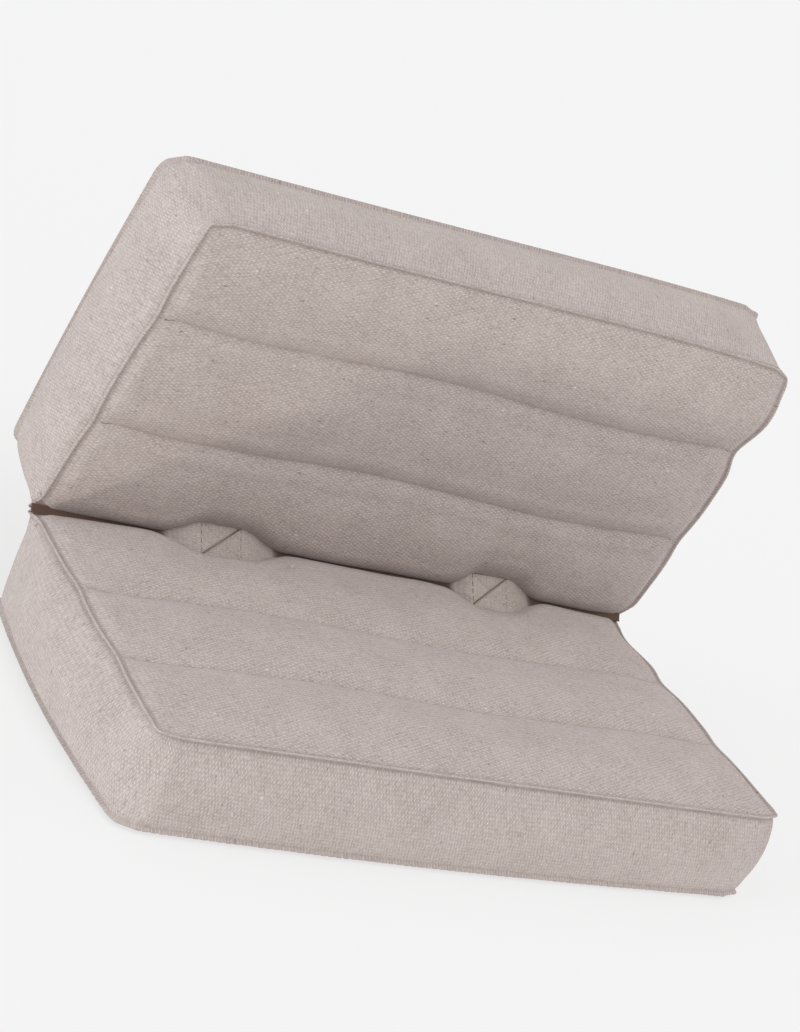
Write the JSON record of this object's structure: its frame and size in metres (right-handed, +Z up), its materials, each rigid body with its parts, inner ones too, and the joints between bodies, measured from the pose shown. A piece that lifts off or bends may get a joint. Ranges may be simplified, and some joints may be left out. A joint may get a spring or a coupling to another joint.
{
  "type": "folding yoga cushion",
  "caption": "Firm box-sided yoga cushion in two hinged halves with sewn channels, opened like a low seat with a backrest.",
  "frame": {"origin": "on the floor, under the middle of the whole cushion's box as it stands open", "axes": "+Z up; X along the hinge; the lower half lies towards -Y from the hinge and the upper half stands on its +Y side, with its inner face looking towards -Y"},
  "size_m": [0.5352, 0.325, 0.3297],
  "materials": {
    "cover_cloth": "coarse hand-woven cotton, undyed, matt, with darker flecks and thicker threads",
    "hinge_cloth": "the same cotton, sewn down with darker thread"
  },
  "bodies": {
    "root": {"lower_cushion": "cover_cloth", "upper_cushion": "cover_cloth", "hinge_strip": "hinge_cloth"}
  },
  "joints": []
}
